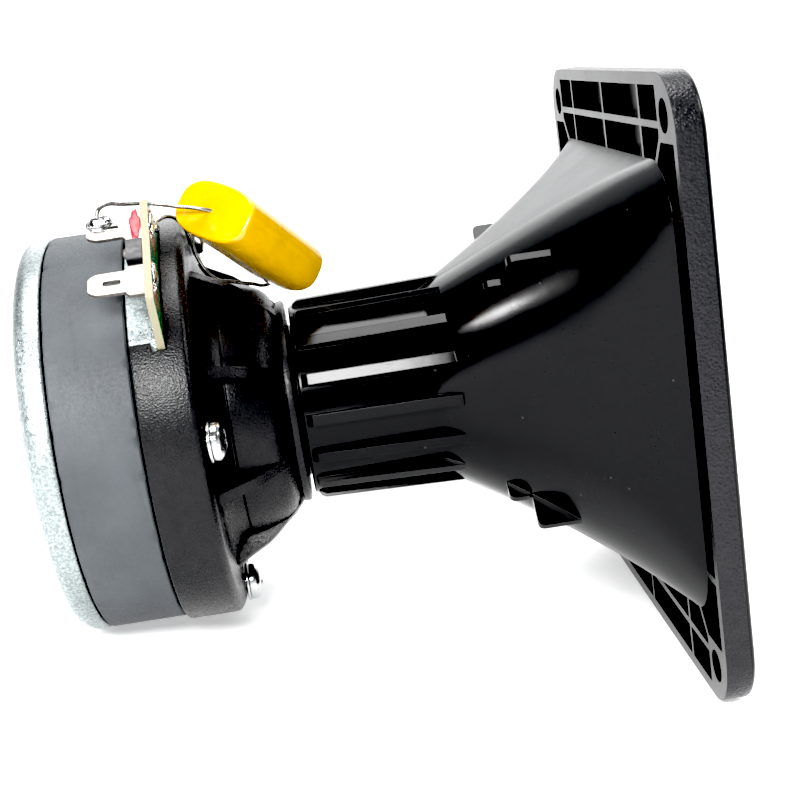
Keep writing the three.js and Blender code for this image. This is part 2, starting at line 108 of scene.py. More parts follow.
CAPACITOR_START = Vector((-89.2, -21.8, 48.1))
CAPACITOR_AXIS = Vector((0.429, 0.738, -0.521)).normalized()
CAPACITOR_SIDE = Vector((0.715, -0.63, -0.304)).normalized()
CAPACITOR_LENGTH = 32
CAPACITOR_HALF_WIDTH = 10
CAPACITOR_HALF_HEIGHT = 6.2
LEAD_RADIUS = 0.42


def place(point):
    """A design point in the frame's metres."""
    x, y, z = point
    return Vector(((ORIGIN_X + x) * MM, y * MM, z * MM))


# ---- mesh helpers ----

def new_object(name, points, faces):
    """A mesh object from points in design millimetres."""
    mesh = bpy.data.meshes.new(name)
    mesh.from_pydata([place(p) for p in points], [], faces)
    tidy = bmesh.new()
    tidy.from_mesh(mesh)
    bmesh.ops.remove_doubles(tidy, verts=tidy.verts, dist=1e-7)
    bmesh.ops.recalc_face_normals(tidy, faces=tidy.faces)
    tidy.to_mesh(mesh)
    tidy.free()
    piece = bpy.data.objects.new(name, mesh)
    bpy.context.scene.collection.objects.link(piece)
    return piece


def combine(base, others, operation):
    """Joins or cuts base with each of the others, which are used up."""
    for other in others:
        step = base.modifiers.new("step", "BOOLEAN")
        step.operation = operation
        step.solver = "MANIFOLD"
        step.object = other
        result = base.evaluated_get(bpy.context.evaluated_depsgraph_get())
        mesh = bpy.data.meshes.new_from_object(result)
        base.modifiers.clear()
        base.data = mesh
        bpy.data.objects.remove(other)
    return base


def finish_piece(piece, body, materials, replaced=(), angle=32, choose=None):
    """Materials, smooth shading, body and replaced CAD nodes of one piece."""
    mesh = piece.data
    mesh.materials.clear()
    for material in materials:
        mesh.materials.append(material)
    for face in mesh.polygons:
        face.use_smooth = True
        face.material_index = choose(face) if choose else 0
    mesh.set_sharp_from_angle(angle=math.radians(angle))
    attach(piece, body)
    if replaced:
        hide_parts(*replaced)
    return piece


def fillet(points, radius, steps=4, closed=True):
    """The outline with each corner rounded, as far as its two sides allow."""
    rounded = []
    count = len(points)
    for i, point in enumerate(points):
        if not closed and i in (0, count - 1):
            rounded.append(tuple(point))
            continue
        corner = Vector(point)
        before = Vector(points[i - 1]) - corner
        after = Vector(points[(i + 1) % count]) - corner
        cut = min(radius, 0.45 * before.length, 0.45 * after.length)
        start = corner + before.normalized() * cut
        end = corner + after.normalized() * cut
        for k in range(steps + 1):
            t = k / steps
            spot = start * (1 - t) ** 2 + corner * 2 * t * (1 - t) + end * t ** 2
            rounded.append(tuple(spot))
    return rounded


def turned(name, profile, segments=128):
    """A profile of (x, radius) turned about the axis; one that starts off the axis closes on itself."""
    on_axis = profile[0][1] == 0
    points = []
    for i in range(segments):
        angle = 2 * math.pi * i / segments
        points += [(x, -r * math.cos(angle), r * math.sin(angle)) for x, r in profile]
    count = len(profile)
    faces = []
    for i in range(segments):
        here = i * count
        there = (i + 1) % segments * count
        for k in range(count - 1 if on_axis else count):
            after = (k + 1) % count
            faces.append((here + k, here + after, there + after, there + k))
    return new_object(name, points, faces)


def prism(name, outline, low, high, to_point):
    """An outline pushed from low to high; to_point turns (a, b, depth) into a point."""
    count = len(outline)
    points = [to_point(a, b, low) for a, b in outline]
    points += [to_point(a, b, high) for a, b in outline]
    faces = [tuple(range(count)), tuple(range(count, 2 * count))]
    faces += [(i, (i + 1) % count, (i + 1) % count + count, i + count) for i in range(count)]
    return new_object(name, points, faces)


def along_axis(a, b, depth):
    """Outline in (y, z), depth along the axis."""
    return depth, a, b


def radial(angle):
    """Outline in (x, distance from the axis), depth across the plate, at an angle round the axis."""
    turn = math.radians(angle)
    out = Vector((-math.cos(turn), math.sin(turn)))
    side = Vector((math.sin(turn), math.cos(turn)))
    return lambda a, b, depth: (a, *(out * b + side * depth))


def on_board(a, b, depth):
    """Outline in the board's frame (sideways, distance from the axis), depth along the axis."""
    return radial(BOARD_ANGLE)(depth, b, a)


def flat_on_board(a, b, depth):
    """Outline in (x, sideways), depth as distance from the axis, in the board's frame."""
    return radial(BOARD_ANGLE)(a, depth, b)


def box(name, x, y, z):
    """A block between the pairs of limits x, y and z."""
    outline = [(y[0], z[0]), (y[1], z[0]), (y[1], z[1]), (y[0], z[1])]
    return prism(name, outline, x[0], x[1], along_axis)


def rounded_rectangle(half_width, half_height, corner, steps=16):
    """An outline about (0, 0) with round corners."""
    outline = []
    for quarter, (a, b) in enumerate(((1, 1), (-1, 1), (-1, -1), (1, -1))):
        for k in range(steps + 1):
            turn = math.pi / 2 * (quarter + k / steps)
            outline.append((
                a * (half_width - corner) + corner * math.cos(turn),
                b * (half_height - corner) + corner * math.sin(turn),
            ))
    return outline


def joined_rings(name, rings):
    """Rings of points joined into a skin, with a face over each end."""
    around = len(rings[0])
    points = [point for ring in rings for point in ring]
    last = len(points) - around
    faces = [tuple(range(around)), tuple(range(last, len(points)))]
    for start in range(0, last, around):
        for i in range(around):
            after = (i + 1) % around
            faces.append((start + i, start + after, start + around + after, start + around + i))
    return new_object(name, points, faces)


def loft(name, stations, section):
    """A closed skin with a ring at each station; section(x, turn) gives a point's two offsets."""
    around = 160
    turns = [2 * math.pi * i / around for i in range(around)]
    return joined_rings(name, [[(x, *section(x, turn)) for turn in turns] for x in stations])


def spaced(start, end, count):
    """Evenly spaced values from start to end, count steps apart."""
    return [start + (end - start) * i / count for i in range(count + 1)]


def wire(name, route, radius):
    """A round wire along a smooth curve through the route's points."""
    curve = bpy.data.curves.new(name, "CURVE")
    curve.dimensions = "3D"
    curve.bevel_depth = radius * MM
    curve.bevel_resolution = 3
    curve.use_fill_caps = True
    spline = curve.splines.new("BEZIER")
    spline.bezier_points.add(len(route) - 1)
    for knot, point in zip(spline.bezier_points, route):
        knot.co = place(point)
        knot.handle_left_type = "AUTO"
        knot.handle_right_type = "AUTO"
    curve.resolution_u = 10
    drawn = bpy.data.objects.new(name, curve)
    bpy.context.scene.collection.objects.link(drawn)
    result = drawn.evaluated_get(bpy.context.evaluated_depsgraph_get())
    mesh = bpy.data.meshes.new_from_object(result)
    bpy.data.objects.remove(drawn)
    piece = bpy.data.objects.new(name, mesh)
    bpy.context.scene.collection.objects.link(piece)
    return piece


# ---- materials ----

class Nodes:
    """A material's node tree, with short calls for the nodes used here. Lengths are in millimetres."""

    def __init__(self, name):
        self.material = bpy.data.materials.new(name)
        self.material.use_nodes = True
        self.tree = self.material.node_tree
        self.shader = self.tree.nodes["Principled BSDF"]
        where = self.tree.nodes.new("ShaderNodeTexCoord")
        scale = self.tree.nodes.new("ShaderNodeVectorMath")
        scale.operation = "SCALE"
        scale.inputs["Scale"].default_value = 1 / MM
        self.link(where.outputs["Object"], scale.inputs[0])
        self.place = scale.outputs[0]

    def link(self, output, target):
        self.tree.links.new(output, target)

    def set(self, **values):
        for name, value in values.items():
            self.shader.inputs[name.replace("_", " ")].default_value = value

    def stretched(self, x, y, z):
        node = self.tree.nodes.new("ShaderNodeVectorMath")
        node.operation = "MULTIPLY"
        self.link(self.place, node.inputs[0])
        node.inputs[1].default_value = (x, y, z)
        return node.outputs[0]

    def along(self, low, high):
        """0 to 1 between two distances along the axis from the flange's rear face."""
        node = self.tree.nodes.new("ShaderNodeSeparateXYZ")
        self.link(self.place, node.inputs[0])
        return self.ramp(node.outputs["X"], ORIGIN_X + low, ORIGIN_X + high)

    def noise(self, size, detail=3, rough=0.5, where=None):
        """Noise whose lumps are about size millimetres wide."""
        node = self.tree.nodes.new("ShaderNodeTexNoise")
        node.inputs["Scale"].default_value = 1 / size
        node.inputs["Detail"].default_value = detail
        node.inputs["Roughness"].default_value = rough
        self.link(where or self.place, node.inputs["Vector"])
        return node.outputs["Fac"]

    def cells(self, size):
        """Distance from the middle of cells about size millimetres wide."""
        node = self.tree.nodes.new("ShaderNodeTexVoronoi")
        node.inputs["Scale"].default_value = 1 / size
        self.link(self.place, node.inputs["Vector"])
        return node.outputs["Distance"]

    def ramp(self, value, low, high, from_value=0.0, to_value=1.0):
        node = self.tree.nodes.new("ShaderNodeMapRange")
        node.inputs["From Min"].default_value = low
        node.inputs["From Max"].default_value = high
        node.inputs["To Min"].default_value = from_value
        node.inputs["To Max"].default_value = to_value
        self.link(value, node.inputs["Value"])
        return node.outputs["Result"]

    def math(self, operation, first, second):
        node = self.tree.nodes.new("ShaderNodeMath")
        node.operation = operation
        for socket, value in zip(node.inputs, (first, second)):
            if isinstance(value, (int, float)):
                socket.default_value = value
            else:
                self.link(value, socket)
        return node.outputs[0]

    def mix(self, amount, first, second):
        """Mixes two colours by amount; each is a colour or an output."""
        node = self.tree.nodes.new("ShaderNodeMix")
        node.data_type = "RGBA"
        self.link(amount, node.inputs[0])
        for socket, value in ((node.inputs[6], first), (node.inputs[7], second)):
            if isinstance(value, tuple):
                socket.default_value = (*value, 1)
            else:
                self.link(value, socket)
        return node.outputs[2]

    def colour(self, output):
        self.link(output, self.shader.inputs["Base Color"])

    def roughness(self, output):
        self.link(output, self.shader.inputs["Roughness"])

    def bump(self, height, depth, edge=0.0):
        """Relief of some depth in millimetres, over edges rounded to a radius."""
        node = self.tree.nodes.new("ShaderNodeBump")
        node.inputs["Distance"].default_value = depth * MM
        self.link(height, node.inputs["Height"])
        if edge:
            soft = self.tree.nodes.new("ShaderNodeBevel")
            soft.samples = 6
            soft.inputs["Radius"].default_value = edge * MM
            self.link(soft.outputs["Normal"], node.inputs["Normal"])
        self.link(node.outputs["Normal"], self.shader.inputs["Normal"])


def moulded_black():
    """Black ABS of the horn: a glossy neck, a satin flare, fine scratches and specks of dust."""
    nodes = Nodes("horn_black")
    nodes.set(Specular_IOR_Level=0.19)
    scratches = nodes.noise(1, 2, 0.6, nodes.stretched(0.12, 2, 2))
    marks = nodes.ramp(scratches, 0.66, 0.73)
    dust = nodes.ramp(nodes.cells(5.3), 0.055, 0.03)
    plain, dusty = (0.0045, 0.0046, 0.005), (0.06, 0.06, 0.065)
    nodes.colour(nodes.mix(nodes.math("MULTIPLY", dust, 0.5), plain, dusty))
    gloss = nodes.ramp(nodes.noise(18, 4), 0.3, 0.7, 0.11, 0.19)
    sheen = nodes.math("ADD", gloss, nodes.math("MULTIPLY", nodes.along(-48, -20), 0.06))
    nodes.roughness(nodes.math("ADD", sheen, nodes.math("MULTIPLY", marks, 0.12)))
    height = nodes.math("ADD", nodes.noise(6, 2), nodes.math("MULTIPLY", scratches, 0.12))
    nodes.bump(height, 0.03, edge=0.25)
    return nodes.material


def moulded_grain():
    """The flange's outer edge: coarse spark-eroded grain."""
    nodes = Nodes("flange_grain")
    nodes.set(Specular_IOR_Level=0.32)
    nodes.colour(nodes.mix(nodes.noise(2, 3), (0.006, 0.006, 0.007), (0.014, 0.014, 0.016)))
    nodes.roughness(nodes.ramp(nodes.noise(0.6, 2), 0.3, 0.7, 0.2, 0.4))
    grain = nodes.math("ADD", nodes.cells(0.6), nodes.noise(0.4, 3))
    nodes.bump(grain, 0.085, edge=0.35)
    return nodes.material


def cover_grain():
    """The driver cover: fine spark-eroded grain that glitters."""
    nodes = Nodes("cover_grain")
    nodes.set(Specular_IOR_Level=0.22)
    nodes.colour(nodes.mix(nodes.noise(3, 3), (0.006, 0.006, 0.0065), (0.013, 0.013, 0.014)))
    nodes.roughness(nodes.ramp(nodes.noise(0.5, 2), 0.3, 0.7, 0.2, 0.36))
    grain = nodes.math("ADD", nodes.cells(0.42), nodes.noise(0.3, 3))
    nodes.bump(grain, 0.04, edge=0.25)
    return nodes.material


def zinc_plate():
    """Bright zinc over blasted steel: pale, mottled, sparkling."""
    nodes = Nodes("zinc_plate")
    nodes.set(Metallic=1)
    mottle = nodes.noise(0.6, 5, 0.7)
    nodes.colour(nodes.mix(nodes.ramp(mottle, 0.36, 0.64), (0.17, 0.19, 0.195), (0.38, 0.425, 0.42)))
    nodes.roughness(nodes.ramp(nodes.noise(0.7, 3), 0.3, 0.7, 0.22, 0.45))
    nodes.bump(nodes.noise(0.4, 4, 0.6), 0.12, edge=0.4)
    return nodes.material


def bright_zinc():
    """Turned screws and washers with a bright plate."""
    nodes = Nodes("bright_zinc")
    nodes.set(Metallic=1)
    nodes.colour(nodes.mix(nodes.noise(1.5, 3), (0.5, 0.52, 0.53), (0.7, 0.7, 0.69)))
    nodes.roughness(nodes.ramp(nodes.noise(0.8, 3), 0.3, 0.7, 0.1, 0.26))
    nodes.bump(nodes.noise(0.9, 2), 0.03, edge=0.2)
    return nodes.material


def ground_ferrite():
    """Sintered ferrite: matt blue grey, smudged, pitted and faintly streaked."""
    nodes = Nodes("ground_ferrite")
    nodes.set(Specular_IOR_Level=0.45)
    smudge = nodes.ramp(nodes.noise(16, 5, 0.6), 0.35, 0.68)
    grain = nodes.ramp(nodes.noise(0.5, 3), 0.3, 0.75)
    base = nodes.mix(smudge, (0.039, 0.044, 0.049), (0.056, 0.062, 0.068))
    specks = nodes.ramp(nodes.cells(1.6), 0.16, 0.08)
    marked = nodes.mix(nodes.math("MULTIPLY", specks, 0.35), base, (0.04, 0.045, 0.055))
    streaks = nodes.ramp(nodes.noise(1, 3, 0.6, nodes.stretched(0.5, 0.05, 0.05)), 0.6, 0.75)
    nodes.colour(nodes.mix(nodes.math("MULTIPLY", streaks, 0.3), marked, (0.02, 0.021, 0.022)))
    nodes.roughness(nodes.ramp(grain, 0, 1, 0.5, 0.72))
    nodes.bump(nodes.math("ADD", nodes.noise(0.35, 3), nodes.cells(1.6)), 0.035, edge=0.25)
    return nodes.material


def yellow_gloss():
    """Glossy yellow tape and epoxy of the capacitor."""
    nodes = Nodes("yellow_gloss")
    nodes.set(Coat_Weight=0.5, Coat_Roughness=0.06, Subsurface_Weight=0.12, Subsurface_Scale=0.002)
    nodes.set(Subsurface_Radius=(1.0, 0.6, 0.1))
    tone = nodes.ramp(nodes.noise(9, 3), 0.3, 0.7)
    nodes.colour(nodes.mix(tone, (0.5, 0.285, 0.0015), (0.56, 0.325, 0.002)))
    nodes.roughness(nodes.ramp(nodes.noise(2.5, 3), 0.3, 0.7, 0.16, 0.28))
    nodes.bump(nodes.noise(4.5, 2), 0.12)
    return nodes.material


def board_green():
    """Green lacquer over glass laminate, with a faint weave."""
    nodes = Nodes("board_green")
    weave = nodes.noise(0.7, 2)
    nodes.colour(nodes.mix(weave, (0.01, 0.09, 0.035), (0.02, 0.15, 0.06)))
    nodes.roughness(nodes.ramp(weave, 0.3, 0.7, 0.18, 0.3))
    nodes.bump(weave, 0.02, edge=0.1)
    return nodes.material


def board_cream():
    """The laminate's bare cut edge and rear face."""
    nodes = Nodes("board_cream")
    fibres = nodes.noise(0.5, 3, 0.6, nodes.stretched(3, 0.6, 0.6))
    nodes.colour(nodes.mix(fibres, (0.18, 0.163, 0.1), (0.28, 0.262, 0.19)))
    nodes.roughness(nodes.ramp(fibres, 0.3, 0.7, 0.45, 0.65))
    nodes.bump(fibres, 0.04)
    return nodes.material


def dull_metal(name, dark, light, low, high, depth):
    """Tin, solder and copper: metal with a mottled tone and roughness."""
    nodes = Nodes(name)
    nodes.set(Metallic=1)
    tone = nodes.noise(0.9, 4)
    nodes.colour(nodes.mix(nodes.ramp(tone, 0.3, 0.7), dark, light))
    nodes.roughness(nodes.ramp(nodes.noise(0.6, 3), 0.3, 0.7, low, high))
    nodes.bump(tone, depth, edge=0.12)
    return nodes.material


def plain_plastic(name, dark, light):
    """Small moulded pieces and films."""
    nodes = Nodes(name)
    tone = nodes.noise(1.2, 3)
    nodes.colour(nodes.mix(tone, dark, light))
    nodes.roughness(nodes.ramp(tone, 0.3, 0.7, 0.3, 0.5))
    nodes.bump(tone, 0.02, edge=0.15)
    return nodes.material


def matt_floor():
    """A pale table with a little light coming up through it."""
    nodes = Nodes("matt_floor")
    nodes.set(Roughness=0.9, Specular_IOR_Level=0.1, Emission_Color=(1, 1, 1, 1), Emission_Strength=0.45)
    nodes.colour(nodes.mix(nodes.noise(90, 2), (0.86, 0.86, 0.87), (0.89, 0.89, 0.89)))
    return nodes.material


horn_black = moulded_black()
flange_grain = moulded_grain()
cover_skin = cover_grain()
zinc = zinc_plate()
screw_zinc = bright_zinc()
ferrite = ground_ferrite()
yellow = yellow_gloss()
green = board_green()
cream = board_cream()
tin = dull_metal("tin", (0.13, 0.12, 0.113), (0.22, 0.205, 0.192), 0.3, 0.48, 0.02)
wire_tin = dull_metal("wire_tin", (0.16, 0.155, 0.15), (0.3, 0.29, 0.28), 0.2, 0.36, 0.02)
solder_metal = dull_metal("solder", (0.3, 0.3, 0.3), (0.6, 0.6, 0.6), 0.08, 0.2, 0.08)
copper = dull_metal("copper", (0.55, 0.22, 0.1), (0.8, 0.4, 0.2), 0.2, 0.4, 0.02)
black_part = plain_plastic("black_part", (0.008, 0.008, 0.009), (0.016, 0.016, 0.018))
film = plain_plastic("diaphragm_film", (0.5, 0.42, 0.2), (0.62, 0.54, 0.3))
foil = plain_plastic("metallised_film", (0.6, 0.6, 0.58), (0.75, 0.75, 0.73))
red_paint = plain_plastic("red_paint", (0.22, 0.003, 0.012), (0.3, 0.008, 0.018))


# ---- horn ----

def flare_half_sizes(x):
    """The flare's outside at x: half sizes and corner radius of a rounded rectangle."""
    u = max(0, min(1, (x - FLARE_START) / -FLARE_START))
    half_y = NECK_RADIUS + (MOUTH_HALF_Y - NECK_RADIUS) * u ** 1.3
    half_z = NECK_RADIUS + (MOUTH_HALF_Z - NECK_RADIUS) * u ** 1.05
    swell, tighten = 26, 9
    corner = NECK_RADIUS + swell * u * u * (1 - u) - tighten * u ** 5
    return half_y, half_z, corner


def air_half_sizes(x):
    """The air inside the horn: a round throat that opens into the flare."""
    if x >= FLARE_START:
        half_y, half_z, corner = flare_half_sizes(x)
        grow = 0.4 * max(0, x) - WALL
        return half_y + grow, half_z + grow, corner - WALL
    u = max(0, (x - BORE_END) / (FLARE_START - BORE_END))
    radius = THROAT_RADIUS + (NECK_RADIUS - WALL - THROAT_RADIUS) * u ** 1.3
    return radius, radius, radius


def reach(turn, half_y, half_z, corner):
    """Distance from the axis to a rounded rectangle's edge, in one direction."""
    y = abs(math.cos(turn))
    z = abs(math.sin(turn))
    centre_y = half_y - corner
    centre_z = half_z - corner
    if z * half_y <= y * centre_z:
        return half_y / y
    if y * half_z <= z * centre_y:
        return half_z / z
    along = y * centre_y + z * centre_z
    return along + math.sqrt(along ** 2 - centre_y ** 2 - centre_z ** 2 + corner ** 2)


def flare_section(sizes):
    """A section function for loft, with its points crowded towards the corners."""
    def section(x, turn):
        quarter = turn / (math.pi / 2)
        angle = turn + math.sin(2 * math.pi * quarter) / 8
        distance = reach(angle, *sizes(x))
        return distance * math.cos(angle), distance * math.sin(angle)
    return section


def neck_ribs():
    """Ribs along the neck, with sloping rear ends."""
    outline = [
        (-76.4, 21), (-76.4, 22.5), (-75.2, 23.4), (-43.5, 24.3), (-41.8, 24.3), (-41.8, 21),
    ]
    profile = fillet(outline, 0.4, 2)
    angles = [360 / NECK_RIBS * i for i in range(NECK_RIBS)]
    return [prism("rib", profile, -1.25, 1.25, radial(angle)) for angle in angles]


def flare_fins(angle):
    """A plate standing on a corner of the flare, with a smaller one behind it."""
    fins = []
    for rear, outer, front in ((-29.8, 42.3, -18.5), (-34.7, 34.5, -29.5)):
        outline = [(rear, outer - 12), (rear, outer), (front, outer), (front, outer - 12)]
        fins.append(prism("fin", fillet(outline, 1.7, 5), -0.9, 0.9, radial(angle)))
    return fins


def flange_lattice():
    """Bars, cross ribs and corner bosses in the flange's hollow back, as one mesh."""
    depth = (0, FLANGE_DEPTH - FRONT_SKIN + 0.5)
    edge = FLANGE_HALF - 1
    pieces = []
    for side in (-1, 1):
        def span(low, high, side=side):
            return tuple(sorted((side * low, side * high)))
        pieces.append(box("bar", depth, (-BOSS_START - 1, BOSS_START + 1), span(53.8, 55.3)))
        for across in (-CROSS_RIB_PITCH, 0, CROSS_RIB_PITCH):
            thin = (across - 0.75, across + 0.75)
            pieces.append(box("cross", depth, thin, span(MOUTH_HALF_Z - 6, edge)))
            pieces.append(box("cross", depth, span(MOUTH_HALF_Y - 3, edge), thin))
        for end in (-1, 1):
            other = tuple(sorted((end * BOSS_START, end * edge)))
            pieces.append(box("boss", depth, span(BOSS_START, edge), other))
            corners = ((44, 45), (45, 44), (53, 52), (52, 53))
            slope = [(side * a, end * b) for a, b in corners]
            pieces.append(prism("slope", slope, *depth, along_axis))
    lattice = combine(pieces[0], pieces[1:], "UNION")
    inside = rounded_rectangle(edge, edge, FLANGE_CORNER - 1)
    return combine(lattice, [prism("inside", inside, -1, FLANGE_DEPTH, along_axis)], "INTERSECT")


def flange_slab():
    """The flange with a rounded front edge."""
    outline = rounded_rectangle(FLANGE_HALF, FLANGE_HALF, FLANGE_CORNER)
    edge = 1.4
    steps = [(0, 0)]
    for turn in spaced(0, math.pi / 2, 6):
        steps.append((FLANGE_DEPTH - edge + edge * math.sin(turn), edge * (1 - math.cos(turn))))
    rings = []
    for x, inset in steps:
        scale = (FLANGE_HALF - inset) / FLANGE_HALF
        rings.append([(x, a * scale, b * scale) for a, b in outline])
    return joined_rings("flange", rings)


def horn_skin():
    """The outside of the neck and the flare, with a small lead-in at the rear."""
    lead_in = 0.4
    stations = [NECK_REAR, NECK_REAR + lead_in, FLARE_START - 0.5]
    stations += [*spaced(FLARE_START, 0, 47), FLANGE_DEPTH - 0.5]
    outline = flare_section(flare_half_sizes)

    def section(x, turn):
        a, b = outline(x, turn)
        inset = 1 - lead_in / NECK_RADIUS if x == NECK_REAR else 1
        return a * inset, b * inset

    return loft("skin", stations, section)


def horn_air():
    """The throat and the inside of the flare."""
    stations = [BORE_END - 0.2, *spaced(BORE_END, FLARE_START, 12)]
    stations += [*spaced(FLARE_START + 1, 0, 40), FLANGE_DEPTH + 1]
    return loft("air", stations, flare_section(air_half_sizes))


def horn_bore():
    """The hole that takes the driver's thread."""
    rear, radius = NECK_REAR - 1, THREAD_BORE_RADIUS
    return turned("bore", [(rear, 0), (rear, radius), (BORE_END, radius), (BORE_END, 0)])


def flange_holes():
    """Pins that cut the four screw holes."""
    holes = []
    for y in (-HOLE_PITCH_HALF, HOLE_PITCH_HALF):
        for z in (-HOLE_PITCH_HALF, HOLE_PITCH_HALF):
            outline = circle(HOLE_RADIUS, (y, z), 10)
            holes.append(prism("hole", outline, -1, FLANGE_DEPTH + 1, along_axis))
    return holes


def on_flange_rim(face):
    """1 for a face of the flange's grained outer edge, and 0 for any other."""
    x = face.center[0] / MM - ORIGIN_X
    y, z = face.center[1] / MM, face.center[2] / MM
    skin = 1.5
    half = FLANGE_HALF - skin
    rim = reach(math.atan2(z, y), half, half, FLANGE_CORNER - skin)
    return int(x > 0.01 and math.hypot(y, z) > rim and abs(face.normal[0]) < 0.3)


def make_horn():
    """The moulding: flange, neck, flare, ribs and fins, less the air and the screw holes."""
    inner_half = FLANGE_HALF - RIM_WALL
    outline = rounded_rectangle(inner_half, inner_half, FLANGE_CORNER - RIM_WALL)
    pocket = prism("pocket", outline, -1, FLANGE_DEPTH - FRONT_SKIN, along_axis)
    horn = combine(flange_slab(), [pocket], "DIFFERENCE")
    fins = [fin for angle in (45, 135, 225, 315) for fin in flare_fins(angle)]
    combine(horn, [horn_skin(), flange_lattice(), *neck_ribs(), *fins], "UNION")
    combine(horn, [horn_air(), horn_bore(), *flange_holes()], "DIFFERENCE")
    horn.name = "horn_moulding"
    finish_piece(horn, "horn", [horn_black, flange_grain], ["horn"], 28, on_flange_rim)


# ---- driver ----

def make_back_plate():
    """The plate with its rounded rear edge, and the pole that stands on it."""
    plate_front = MAGNET_REAR - GAP
    pole_front = TOP_PLATE_FRONT - 0.7
    outline = [
        (YOKE_REAR, 0), (YOKE_REAR, 42.2), (-132.6, 44.4), (-131, MAGNET_RADIUS),
        (plate_front, MAGNET_RADIUS), (plate_front, POLE_RADIUS),
        (pole_front, POLE_RADIUS), (pole_front, 0),
    ]
    plate = turned("back_plate_turned", fillet(outline, 0.9, 5, closed=False), 192)
    finish_piece(plate, "driver", [zinc], ["back_plate"], 40)


def chip_edges(magnet):
    """Pulls points near the ring's two outer edges inwards, here and there."""
    lump_size, chip_level, chip_depth = 0.55, 0.28, 1.6
    for vertex in magnet.data.vertices:
        x = vertex.co.x / MM - ORIGIN_X
        radius = math.hypot(vertex.co.y, vertex.co.z) / MM
        near_edge = x < MAGNET_REAR + 0.5 or x > MAGNET_FRONT - 0.5
        if radius > MAGNET_RADIUS - 0.6 and near_edge:
            swell = noise.noise(vertex.co / MM * lump_size)
            bite = max(0, swell - chip_level) * chip_depth
            scale = 1 - bite / MAGNET_RADIUS
            vertex.co.y *= scale
            vertex.co.z *= scale


def make_magnet():
    """The ferrite ring, with small chips broken out of its ground edges."""
    edge = 0.35
    profile = [
        (MAGNET_REAR, MAGNET_BORE_RADIUS), (MAGNET_REAR, MAGNET_RADIUS - 2),
        (MAGNET_REAR, MAGNET_RADIUS - edge), (MAGNET_REAR + edge, MAGNET_RADIUS),
        *[(x, MAGNET_RADIUS) for x in spaced(-125.6, -111.6, 7)],
        (MAGNET_FRONT - edge, MAGNET_RADIUS), (MAGNET_FRONT, MAGNET_RADIUS - edge),
        (MAGNET_FRONT, MAGNET_BORE_RADIUS),
    ]
    magnet = turned("ferrite_ring", profile, 360)
    chip_edges(magnet)
    finish_piece(magnet, "driver", [ferrite], ["ferrite_magnet"], 40)


def board_outline(grow=0):
    """The terminal board's outline, larger all round by about grow."""
    m = BOARD_MIDDLE
    return [
        (m + 13.4 + grow, 56 + grow), (m - 13.4 - grow, 56 + grow), (m - 14.2 - grow, 55 + grow),
        (m - 17 - grow, 43.3), (m - 12 - grow, 29.2 - grow), (m + 12 + grow, 29.2 - grow),
        (m + 17 + grow, 43.3), (m + 14.2 + grow, 55 + grow),
    ]


def circle(radius, centre, steps):
    """A round outline; steps is the number of sides in each quarter."""
    quarter_turns = rounded_rectangle(radius, radius, radius, steps)[:-1]
    return [(a + centre[0], b + centre[1]) for a, b in quarter_turns]


def screw_places():
    """The screws' (y, z)."""
    turns = [math.radians(SCREW_ANGLE + 90 * i) for i in range(4)]
    return [(-SCREW_CIRCLE * math.cos(turn), SCREW_CIRCLE * math.sin(turn)) for turn in turns]


def make_cover():
    """Skirt, shoulder, ribbed dome, collar and stub, with a notch for the terminal board."""
    outside = [
        (SKIRT_REAR, TOP_PLATE_RADIUS + GAP), (SKIRT_REAR, COVER_RADIUS), (-98.2, COVER_RADIUS),
        (SHOULDER, 44.2), (SHOULDER, 35.4), (-96, 33.2), (-94.6, 31.2), (-92.7, 29.6), (-92.3, 29.9),
        (-89.1, 29.2), (-86.4, 28.2), (-83.7, 27), (-81.8, 25.4), (COLLAR_REAR - 0.2, 22.4),
        (COLLAR_REAR, 22.4), (COLLAR_REAR, COLLAR_RADIUS), (COLLAR_FRONT, COLLAR_RADIUS),
        (COLLAR_FRONT, THREAD_RADIUS), (-64.9, THREAD_RADIUS), (-64.9, THROAT_RADIUS), (-84, THROAT_RADIUS),
        (-87, 17.6), (-91, 21.4), (-100.9, 21.4), (-100.9, 27.6), (TOP_PLATE_FRONT + GAP, 27.6),
        (TOP_PLATE_FRONT + GAP, TOP_PLATE_RADIUS + GAP),
    ]
    cover = turned("cover_moulding", fillet(outside, 0.8, 3), 180)
    crest = [(-98, 28), (-98, 36.6), (-96.6, 36), (-94, 34.5), (-91.6, 33.2), (-89.3, 32), (-87.2, 30.4),
             (-85.2, 28.5), (-83, 26.6), (-81, 24.6), (COLLAR_REAR + 0.4, 23), (COLLAR_REAR + 0.4, 20),
             (-88, 23), (-93, 26)]
    angles = [GUSSET_ANGLE + 360 / GUSSETS * i for i in range(GUSSETS)]
    gussets = [prism("gusset", crest, -1.35, 1.35, radial(angle)) for angle in angles]
    combine(cover, gussets, "UNION")
    m = BOARD_MIDDLE
    notch = [(m + 19, 60), (m - 19, 60), (m - 15, 42), (m + 15, 42)]
    tools = [
        prism("notch", notch, SKIRT_REAR - 1, BOARD_FRONT + GAP, on_board),
        prism("pocket", board_outline(GAP), TOP_PLATE_FRONT - 1, BOARD_FRONT + GAP, on_board),
    ]
    for centre in screw_places():
        tools.append(prism("hole", circle(2.2, centre, 8), -112, -90, along_axis))
    combine(cover, tools, "DIFFERENCE")
    finish_piece(cover, "driver", [cover_skin], ["driver_cover"], 30)


def shift(piece, y, z):
    """Moves a piece's points across the axis."""
    for vertex in piece.data.vertices:
        vertex.co.y += y * MM
        vertex.co.z += z * MM


